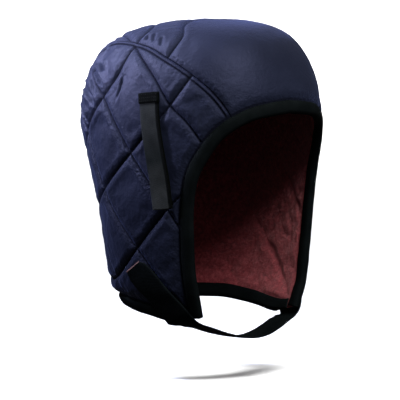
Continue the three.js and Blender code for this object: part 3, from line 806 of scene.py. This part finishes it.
def trimmed(line, distance):
    lengths = lengths_along(line)
    start = points_at(distance, lengths, line)
    return np.vstack((start, line[lengths > distance + SAMPLE_STEP]))


def make_bindings():
    faces = {side: extended(table_line(FACE_EDGE, side), FACE_OVERHANG) for side in (-1, 1)}
    hems = {side: trimmed(table_line(HEM, side), HEM_START) for side in (-1, 1)}
    face_route = np.vstack((faces[-1][::-1], faces[1][1:]))
    hem_route = np.vstack((hems[-1], hems[1][:-1][::-1]))
    face = make_binding("bound_face_edge", face_route, 1, 11)
    hem = make_binding("bound_hem", hem_route, -1, 23, PRESSED_LENGTH)
    finish_piece(face, "face_binding", "edge_binding")
    finish_piece(hem, "neck_binding", "edge_binding")


# Straps

# The chin strap's middle line: x, y and depth below the crown's top, half width, direction across,
# how far it is held to the skin, and its lift off the skin
UNDER_CHIN = [
    (-66.5, -18, 222, 12, (-0.2, -0.8, 0.56), 1, 1.8),
    (-60.5, -26.8, 230.6, 12, (-0.15, -0.93, 0.33), 1, 3.2),
    (-54, -31, 237.6, 12, (0, -0.99, 0.12), 0, 3.2),
    (-44, -34, 240.6, 12, (0, -1, 0.05), 0, 0),
    (-30, -37, 245.2, 12, (0, -1, 0.03), 0, 0),
    (-15, -39.5, 249, 12, (0, -1, 0), 0, 0),
]
MIRRORED = [
    (-x, y, drop, half, (-turn[0], *turn[1:]), hold, lift)
    for x, y, drop, half, turn, hold, lift in reversed(UNDER_CHIN)
]
CHIN_STRAP = [
    (-74.5, 12, 194, 9, (-0.12, -0.86, 0.49), 1, 0.5),
    (-74, 7, 198, 12, (-0.15, -0.78, 0.6), 1, 0.5),
    (-72, -5, 209, 12, (-0.2, -0.7, 0.68), 1, 0.8),
    *UNDER_CHIN,
    (0, -40.5, 250.5, 12, (0, -1, 0), 0, 0),
    *MIRRORED,
    (70.5, -9, 213, 12, (0.2, -0.7, 0.68), 1, 0.7),
]
CHIN_ROWS = 200
CHIN_COLUMNS = 22
CHIN_THICKNESS = 1.7


def chin_strap_frames():
    centres = np.array([(x, y, CROWN_TOP - drop) for x, y, drop, *_ in CHIN_STRAP], dtype=float)
    halves, across, hold, lift = (np.array([row[k] for row in CHIN_STRAP]) for k in range(3, 7))
    line = smooth_line(centres, CHIN_ROWS)
    marks = [int(np.argmin(np.linalg.norm(line - centre, axis=1))) for centre in centres]
    marks[0] = 0
    marks[-1] = CHIN_ROWS
    rows = np.arange(CHIN_ROWS + 1)

    def spread(values):
        return np.interp(rows, marks, values)

    return line, unit(points_at(rows, marks, across)), spread(halves), spread(hold), spread(lift)


def make_chin_strap():
    line, across, half, hold, lift = chin_strap_frames()
    columns = np.linspace(-1, 1, CHIN_COLUMNS + 1)
    free = line[:, None] + across[:, None] * (half[:, None] * columns[None])[..., None]
    normals = skin_normals(free)
    held = on_skin(free) + normals * lift[:, None, None]
    hold = hold[:, None, None]
    middle = free * (1 - hold) + held * hold
    tangents = np.gradient(line, axis=0)
    facing = unit(np.cross(tangents, across))[:, None]
    normals = unit(facing * (1 - hold) + normals * hold)
    rounding = 0.5 * (1 - np.abs(columns) ** 8)[None, :, None]
    ripple = 0.12 * smooth_noise(middle, 10.0, 41)[..., None]
    centre = middle + normals * (CHIN_THICKNESS / 2 + ripple)
    half_thick = CHIN_THICKNESS * (0.18 + 0.64 * rounding)
    outer = centre + normals * half_thick
    inner = centre - normals * half_thick
    strap = new_object("chin_band", joined(outer, inner), sheet_faces(*outer.shape[:2], False))
    add_cloth_coordinates(strap, columns[None] * half[:, None], lengths_along(line))
    finish_piece(strap, "chin_strap", "chin_band")


WEBBING_WIDTH = 18.5
WEBBING_THICKNESS = 1.5
TAB_EXTRA = 1.2
TAB_OVERHANG = 0.7
TAB_LENGTH = 8.5
TAB_STITCH_ROWS = (1.6, 4.2, 6.8)
# A webbing strap's middle line: distance from the middle plane, y, depth and stand off the skin
WEBBING_ROWS = [
    (80, -12.5, 54, 0.4),
    (82, -15.6, 76, 0.8),
    (82, -19.8, 99, 1.2),
    (80.5, -24.2, 122, 1.8),
    (78, -26.7, 146, 2.6),
]
WEBBING_STEPS = 96
WEBBING_COLUMNS = 14


def webbing_frames(side):
    centres = table_points([row[:3] for row in WEBBING_ROWS], side)
    line = smooth_line(centres, WEBBING_STEPS)
    shares = np.linspace(0, 1, WEBBING_STEPS + 1)
    stand = np.interp(shares, np.linspace(0, 1, len(centres)), [row[3] for row in WEBBING_ROWS])
    skin = on_skin(line)
    across = unit(np.cross(np.gradient(line, axis=0), skin_normals(skin)))
    return skin, across, stand


def make_webbing(side, label):
    skin, across, stand = webbing_frames(side)
    columns = np.linspace(-1, 1, WEBBING_COLUMNS + 1)
    lengths = lengths_along(skin)
    tab = (lengths < TAB_LENGTH).astype(float)
    half = WEBBING_WIDTH / 2 + TAB_OVERHANG * tab
    base = on_skin(skin[:, None] + across[:, None] * (half[:, None] * columns[None])[..., None])
    normals = skin_normals(base)
    rounding = (1 - 0.6 * np.abs(columns) ** 10)[None, :]
    thickness = WEBBING_THICKNESS + TAB_EXTRA * tab[:, None]
    lower = base + normals * (stand[:, None] + 0.5 * thickness * (1 - rounding))[..., None]
    upper = base + normals * (stand[:, None] + thickness * (1 - 0.5 * (1 - rounding)))[..., None]
    faces = sheet_faces(*upper.shape[:2], True)
    strap = new_object(f"webbing_{label}", joined(upper, lower), faces)
    # The sign puts the painted edge shadow on the matching edge of both straps.
    add_cloth_coordinates(strap, side * columns[None] * half[:, None], lengths)
    finish_piece(strap, f"fastening_strap_{label}", "webbing")
    return upper


# Stitching: short threads along a line

QUILTING_STITCH = {"pitch": 3.6, "length": 2.6, "radius": 0.26}
THREAD_SINK = 0.7
THREAD_LINE_STEP = 0.4
FIRST_STITCH = 0.15
TAB_STITCH = {"pitch": 1.9, "length": 1.35, "radius": 0.22}
TAB_THREAD_LIFT = 0.05
# Each thread's rings: share of its length, then share of its radius
THREAD_SIDES = 6
THREAD_RINGS = ((0.0, 0.25), (0.18, 0.9), (0.5, 1.0), (0.82, 0.9), (1.0, 0.25))


def thread_points(starts, ends, normals, radius):
    """Points of small closed threads from each start to each end, with tapered tips."""
    along = unit(ends - starts)
    first = unit(np.cross(along, normals))
    second = np.cross(first, along)
    vertices = []
    for share, width in THREAD_RINGS:
        arch = normals * (radius * 0.5 * math.sin(math.pi * share))
        centre = starts * (1 - share) + ends * share + arch
        for k in range(THREAD_SIDES):
            turn = 2 * math.pi * k / THREAD_SIDES
            spoke = first * math.cos(turn) + second * math.sin(turn)
            vertices.append(centre + spoke * radius * width)
    return np.stack(vertices, axis=1)


def make_stitches(name, lines, height, pitch, length, radius):
    """One mesh of all the threads along the lines, raised off them by the height."""
    blocks = []
    for line in lines:
        total = line_length(line)
        count = max(1, int(total / pitch))
        fine = evenly(line, max(8, int(total / THREAD_LINE_STEP)))
        normals = skin_normals(fine)
        fine = fine + normals * height
        places = np.linspace(0, total, len(fine))
        starts = (np.arange(count) + FIRST_STITCH) * total / count

        first = points_at(starts, places, fine)
        last = points_at(starts + length, places, fine)
        blocks.append(thread_points(first, last, unit(points_at(starts, places, normals)), radius))
    vertices = np.concatenate(blocks).reshape(-1, 3)
    faces = tube_faces(len(THREAD_RINGS), THREAD_SIDES)
    starts = range(0, len(vertices), len(THREAD_RINGS) * THREAD_SIDES)
    all_faces = [tuple(index + start for index in face) for start in starts for face in faces]
    return new_object(name, vertices, all_faces)


def cross_rows(grid, lengths):
    """Lines across a strap's upper face, at the given distances from its first end."""
    middle = grid[:, grid.shape[1] // 2]
    places = lengths_along(middle)
    inner = grid[:, 1:-1]
    rows = []
    for length in lengths:
        rows.append(np.stack([points_at(length, places, column) for column in inner.swapaxes(0, 1)]))
    return rows


def make_tab_stitches(upper, label):
    lines = cross_rows(upper, TAB_STITCH_ROWS)
    stitches = make_stitches(f"tab_stitching_{label}", lines, TAB_THREAD_LIFT, **TAB_STITCH)
    trim_piece(stitches, MATERIALS["tab_thread"])


# Materials

def feed(tree, socket, value):
    """Links an output to the socket, or else sets the socket's own value. None leaves it alone."""
    if isinstance(value, bpy.types.NodeSocket):
        tree.links.new(value, socket)
    elif value is not None:
        socket.default_value = (*value, 1) if isinstance(value, tuple) else value


def fill(tree, made, **inputs):
    for key, value in inputs.items():
        feed(tree, made.inputs[key.replace("_", " ")], value)
    return made


def new_material(name):
    material = bpy.data.materials.new(name)
    material.use_nodes = True
    tree = material.node_tree
    return material, tree, tree.nodes["Principled BSDF"]


def node(tree, kind, **inputs):
    return fill(tree, tree.nodes.new(kind), **inputs)


def noise(tree, scale, detail=3.0, roughness=0.5):
    place = node(tree, "ShaderNodeTexCoord").outputs["Object"]
    inputs = {"Vector": place, "Scale": scale, "Detail": detail, "Roughness": roughness}
    return node(tree, "ShaderNodeTexNoise", **inputs).outputs["Fac"]


def ramp(tree, value, *stops):
    made = node(tree, "ShaderNodeValToRGB", Fac=value)
    elements = made.color_ramp.elements
    for element, (place, color) in zip(elements, (stops[0], stops[-1])):
        element.position = place
        element.color = (*color, 1)
    for place, color in stops[1:-1]:
        extra = elements.new(place)
        extra.color = (*color, 1)
    return made.outputs["Color"]


def mixed_color(tree, factor, a, b, blend="MIX"):
    made = tree.nodes.new("ShaderNodeMix")
    made.data_type = "RGBA"
    made.blend_type = blend
    return fill(tree, made, Factor=factor, A=a, B=b).outputs["Result"]


def math_node(tree, operation, *values):
    made = tree.nodes.new("ShaderNodeMath")
    made.operation = operation
    for socket, value in zip(made.inputs, values):
        feed(tree, socket, value)
    return made.outputs[0]


def times(tree, a, b):
    return math_node(tree, "MULTIPLY", a, b)


def bump(tree, height, strength, distance, before=None):
    inputs = {"Strength": strength, "Distance": distance, "Height": height, "Normal": before}
    return node(tree, "ShaderNodeBump", **inputs).outputs["Normal"]


def attribute(tree, name, kind):
    made = tree.nodes.new("ShaderNodeAttribute")
    made.attribute_name = name
    return made.outputs[kind]


# The nylon is darkened to near black by painted shade in its grooves, and dulled, up to this reach from
# the stitching, the seams and the binding's edge, in metres
GROOVE_SHADE_REACH = 0.0016
NEAR_STITCH = 55.0


def nylon_material():
    """Navy satin nylon: a soft gloss with a violet sheen, crinkled beside the stitching; painted shade
    blackens its grooves.
    """
    material, tree, shader = new_material("navy_satin_nylon")
    crinkle = noise(tree, 330, 5, 0.62)
    cloth = ramp(
        tree, noise(tree, 28, 2), (0.3, (0.0056, 0.0070, 0.0145)), (0.7, (0.0082, 0.0100, 0.0200)),
    )
    stitch = attribute(tree, "from_stitch", "Fac")
    # Painted shade: the cloth turns near black in the grooves along the stitching, seams and binding.
    out_of_groove_shade = ramp(tree, times(tree, stitch, 1 / GROOVE_SHADE_REACH), (0.25, (0, 0, 0)), (0.9, (1, 1, 1)))
    rough = math_node(tree, "MULTIPLY_ADD", crinkle, 0.16, 0.44)
    dull = times(tree, math_node(tree, "SUBTRACT", 1.0, out_of_groove_shade), 0.4)
    near = math_node(tree, "SUBTRACT", 1.0, times(tree, stitch, NEAR_STITCH))
    near = math_node(tree, "MAXIMUM", near, 0.3)
    first = bump(tree, times(tree, crinkle, near), 0.7, 0.0018)
    fill(
        tree, shader,
        Base_Color=mixed_color(tree, out_of_groove_shade, (0.0012, 0.0015, 0.0030), cloth),
        Roughness=math_node(tree, "ADD", rough, dull),
        Sheen_Weight=0.09, Sheen_Roughness=0.35, Sheen_Tint=(0.36, 0.45, 1.0),
        Specular_IOR_Level=0.12, Specular_Tint=(0.52, 0.56, 1.0),
        Normal=bump(tree, noise(tree, 2600, 1), 0.3, 0.0001, first),
    )
    return material


def thread_material(name, color):
    material, tree, shader = new_material(name)
    fibre = noise(tree, 3000, 2)
    dark = tuple(0.6 * channel for channel in color)
    fill(
        tree, shader,
        Base_Color=ramp(tree, fibre, (0.35, dark), (0.65, color)),
        Roughness=0.6, Sheen_Weight=0.03, Specular_IOR_Level=0.02,
        Normal=bump(tree, fibre, 0.4, 0.0001),
    )
    return material


def binding_material():
    """Black knitted binding tape: fine ribs and a dull nap."""
    material, tree, shader = new_material("black_knit_binding")
    worn = noise(tree, 60, 3)
    fill(
        tree, shader,
        Base_Color=ramp(tree, worn, (0.35, (0.0012, 0.0020, 0.0022)), (0.7, (0.0026, 0.0038, 0.0041))),
        Roughness=0.8, Specular_IOR_Level=0.03,
        Normal=bump(tree, noise(tree, 1500, 2, 0.7), 0.5, 0.0003),
    )
    return material


# Painted shade along the webbing, darker in the middle of its length, in shares of that length, and the
# blend to a painted shadow along one long edge
SHADED_WEBBING_LENGTH = 0.092
PAINTED_SHADE_ALONG = [
    (0.1, (0.80, 0.80, 0.78)), (0.38, (0.42, 0.44, 0.43)), (0.58, (0.20, 0.24, 0.23)),
    (0.7, (0.55, 0.56, 0.54)), (0.9, (0.80, 0.80, 0.78)),
]
EDGE_SHADOW_BLEND = 0.0006


def webbing_material(name, dark, light, rib, strength, end_length, end_and_shadow_color, edge=None):
    """Woven band: ribs along and across it, read from the strap's own cloth coordinates."""
    material, tree, shader = new_material(name)
    parts = node(tree, "ShaderNodeSeparateXYZ", Vector=attribute(tree, "cloth", "Vector"))
    x, y = parts.outputs["X"], parts.outputs["Y"]
    across, along = (math_node(tree, "SINE", times(tree, k, 2 * math.pi / rib)) for k in (x, y))
    weave = times(tree, across, along)
    height = math_node(tree, "ADD", times(tree, weave, 0.5), noise(tree, 900))
    shade = math_node(tree, "ADD", times(tree, weave, 0.15), noise(tree, 70))
    color = ramp(tree, shade, (0.3, dark), (0.7, light))
    # Painted shade, darker in the middle of the strap's length, and a painted shadow along one long
    # edge in the end's colour
    if edge is not None:
        shade_along = ramp(tree, times(tree, y, 1 / SHADED_WEBBING_LENGTH), *PAINTED_SHADE_ALONG)
        color = mixed_color(tree, 1.0, color, shade_along, "MULTIPLY")
        edge_shadow = times(tree, math_node(tree, "SUBTRACT", x, edge), 1 / EDGE_SHADOW_BLEND)
        edge_shadow.node.use_clamp = True
        color = mixed_color(tree, edge_shadow, color, end_and_shadow_color)
    at_end = math_node(tree, "LESS_THAN", y, end_length)
    fill(
        tree, shader,
        Base_Color=mixed_color(tree, at_end, color, end_and_shadow_color),
        Roughness=0.7, Specular_IOR_Level=0.02,
        Normal=bump(tree, height, strength, 0.0004),
    )
    return material


def fleece_material():
    """Dark red fleece: paler where its bumped pile stands high, deeper red where it lies low."""
    material, tree, shader = new_material("red_fleece")
    tufts = times(tree, noise(tree, 420, 4, 0.65), 0.7)
    mixed = math_node(tree, "ADD", tufts, times(tree, noise(tree, 2200, 3, 0.7), 0.3))
    color = ramp(
        tree, mixed,
        (0.36, (0.070, 0.004, 0.007)), (0.5, (0.155, 0.012, 0.018)), (0.64, (0.24, 0.034, 0.040)),
    )
    fill(
        tree, shader, Base_Color=color, Roughness=0.95,
        Sheen_Weight=0.25, Sheen_Roughness=0.6, Sheen_Tint=(1.0, 0.45, 0.45),
        Normal=bump(tree, mixed, 0.9, 0.0012),
    )
    return material


def plain_floor_material():
    material, tree, shader = new_material("pale_floor")
    color = ramp(tree, noise(tree, 3, 2), (0.3, (0.94, 0.94, 0.94)), (0.7, (0.96, 0.96, 0.96)))
    fill(tree, shader, Base_Color=color, Roughness=0.9)
    return material


MATERIALS = {
    "shell_nylon": nylon_material(),
    "edge_binding": binding_material(),
    "lining_fleece": fleece_material(),
    "chin_band": webbing_material(
        "black_chin_band", (0.0010, 0.0018, 0.0020), (0.0026, 0.0037, 0.0040),
        rib=0.0016, strength=0.5, end_length=0.0008, end_and_shadow_color=(0.11, 0.062, 0.057),
    ),
    "tab_thread": thread_material("charcoal_thread", (0.004, 0.0048, 0.0048)),
    # The webbing has painted shade along its length and a painted shadow along one long edge.
    "webbing": webbing_material(
        "charcoal_webbing", (0.0150, 0.0170, 0.0172), (0.0310, 0.0335, 0.0340), rib=0.0013,
        strength=0.8, end_length=0.0085, end_and_shadow_color=(0.0008, 0.0012, 0.0010), edge=0.0057,
    ),
}


def trim_piece(piece, material):
    piece.data.materials.append(material)
    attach(piece, "root")


def finish_piece(piece, replaced, slot):
    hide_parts(replaced)
    trim_piece(piece, MATERIALS[slot])


# The object

def build_object():
    crown, lining_crown, crown_quilting = make_crown()
    soft = [crown, lining_crown]
    threads = {"stitching_crown": crown_quilting}
    for side, label in ((-1, "right"), (1, "left")):
        panel, lining, quilting = make_side(side, label)
        soft += [panel, lining]
        threads[f"stitching_{label}"] = quilting
        make_tab_stitches(make_webbing(side, label), label)
    make_bindings()
    make_chin_strap()
    navy_thread = thread_material("navy_thread", (0.0040, 0.0050, 0.0120))
    for name, quilting in threads.items():
        stitches = make_stitches(name, quilting, -STITCH_SINK - THREAD_SINK, **QUILTING_STITCH)
        trim_piece(stitches, navy_thread)


build_object()


# Camera at the photo's angle: the wearer's right front, a little above

CAMERA_AZIMUTH = -45.0
CAMERA_ELEVATION = 5.0
CAMERA_DISTANCE = 6.0
MM_PER_PIXEL = 0.80
PICTURE_PIXELS = 400
APEX_PIXEL = (210.5, 19.8)
SENSOR = 36.0


def placed(name, data, place, back):
    """A camera or lamp at its place, with its back turned to the given direction."""
    made = link(bpy.data.objects.new(name, data))
    made.location = place
    made.rotation_mode = "QUATERNION"
    made.rotation_quaternion = back.to_track_quat("Z", "Y")
    return made


def make_camera():
    turn = math.radians(CAMERA_AZIMUTH)
    rise = math.radians(CAMERA_ELEVATION)
    level = math.cos(rise)
    back = Vector((math.sin(turn) * level, -math.cos(turn) * level, math.sin(rise)))
    right = Vector((math.cos(turn), math.sin(turn), 0))
    up = back.cross(right)
    apex = Vector((0, 0, CROWN_TOP * MM))
    across = (PICTURE_PIXELS / 2 - APEX_PIXEL[0]) * MM_PER_PIXEL * MM
    down = (PICTURE_PIXELS / 2 - APEX_PIXEL[1]) * MM_PER_PIXEL * MM
    centre = sum((Vector(corner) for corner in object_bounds()), Vector()) / 2
    target = apex + right * across - up * down
    target += back * (centre - target).dot(back)
    data = bpy.data.cameras.new("photo_camera")
    data.sensor_width = SENSOR
    data.lens = SENSOR * CAMERA_DISTANCE / (PICTURE_PIXELS * MM_PER_PIXEL * MM)
    data.clip_end = 50
    camera = placed("photo_camera", data, target + back * CAMERA_DISTANCE, back)
    bpy.context.scene.camera = camera


make_camera()


# Floor and light

FLOOR_DROP = 0.033


def make_floor():
    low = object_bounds()[0].z - FLOOR_DROP
    reach = 6.0
    floor = new_object("studio_floor", np.array([
        (-reach, -reach, low), (reach, -reach, low), (reach, reach, low), (-reach, reach, low),
    ]) / MM, [(0, 1, 2, 3)])
    floor.data.materials.append(plain_floor_material())
    floor.visible_diffuse = False
    floor.visible_glossy = False
    floor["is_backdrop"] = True


def place_light(name, data, power, color, place, aim):
    data.energy = power
    data.color = color
    return placed(name, data, place, Vector(place) - Vector(aim))


def area_light(name, size, power, place, color=(1, 1, 1), aim=(0, 0, -0.1)):
    data = bpy.data.lights.new(name, "AREA")
    data.shape = "DISK"
    data.size = size
    return place_light(name, data, power, color, place, aim)


def spot_light(name, radius, cone_degrees, power, place, color, aim):
    """A soft pool of light that fades out from its middle to the cone's edge."""
    data = bpy.data.lights.new(name, "SPOT")
    data.shadow_soft_size = radius
    data.spot_size = math.radians(cone_degrees)
    data.spot_blend = 1.0
    return place_light(name, data, power, color, place, aim)


def make_world():
    """Soft light that is brightest overhead and dim at the horizon, as from a studio ceiling."""
    world = bpy.data.worlds.new("studio")
    world.use_nodes = True
    tree = world.node_tree
    upward = node(tree, "ShaderNodeTexCoord").outputs["Generated"]
    parts = node(tree, "ShaderNodeSeparateXYZ", Vector=upward)
    sky = ramp(tree, parts.outputs["Z"], (0.15, (0.14, 0.14, 0.15)), (0.75, (0.9, 0.9, 0.9)))
    fill(tree, tree.nodes["Background"], Color=sky, Strength=0.46)
    bpy.context.scene.world = world


def make_lights():
    area_light("back_left_key", 0.26, 15, (-0.33, 0.42, 0.52), (0.68, 0.73, 1))
    spot_light(
        "upper_back_pool", 0.07, 20, 118, (-0.46, 0.55, 0.24), (0.71, 0.72, 1), (-0.045, 0.092, -0.008),
    )
    area_light("front_fill", 0.6, 30, (-0.25, -0.85, 0.90))
    wash = area_light("backdrop_wash", 3.0, 110, (2.6, 2.6, 1.2), aim=(2.6, 2.6, -1))
    wash.visible_glossy = False


bpy.context.scene.view_settings.view_transform = "Standard"
make_world()
make_floor()
make_lights()
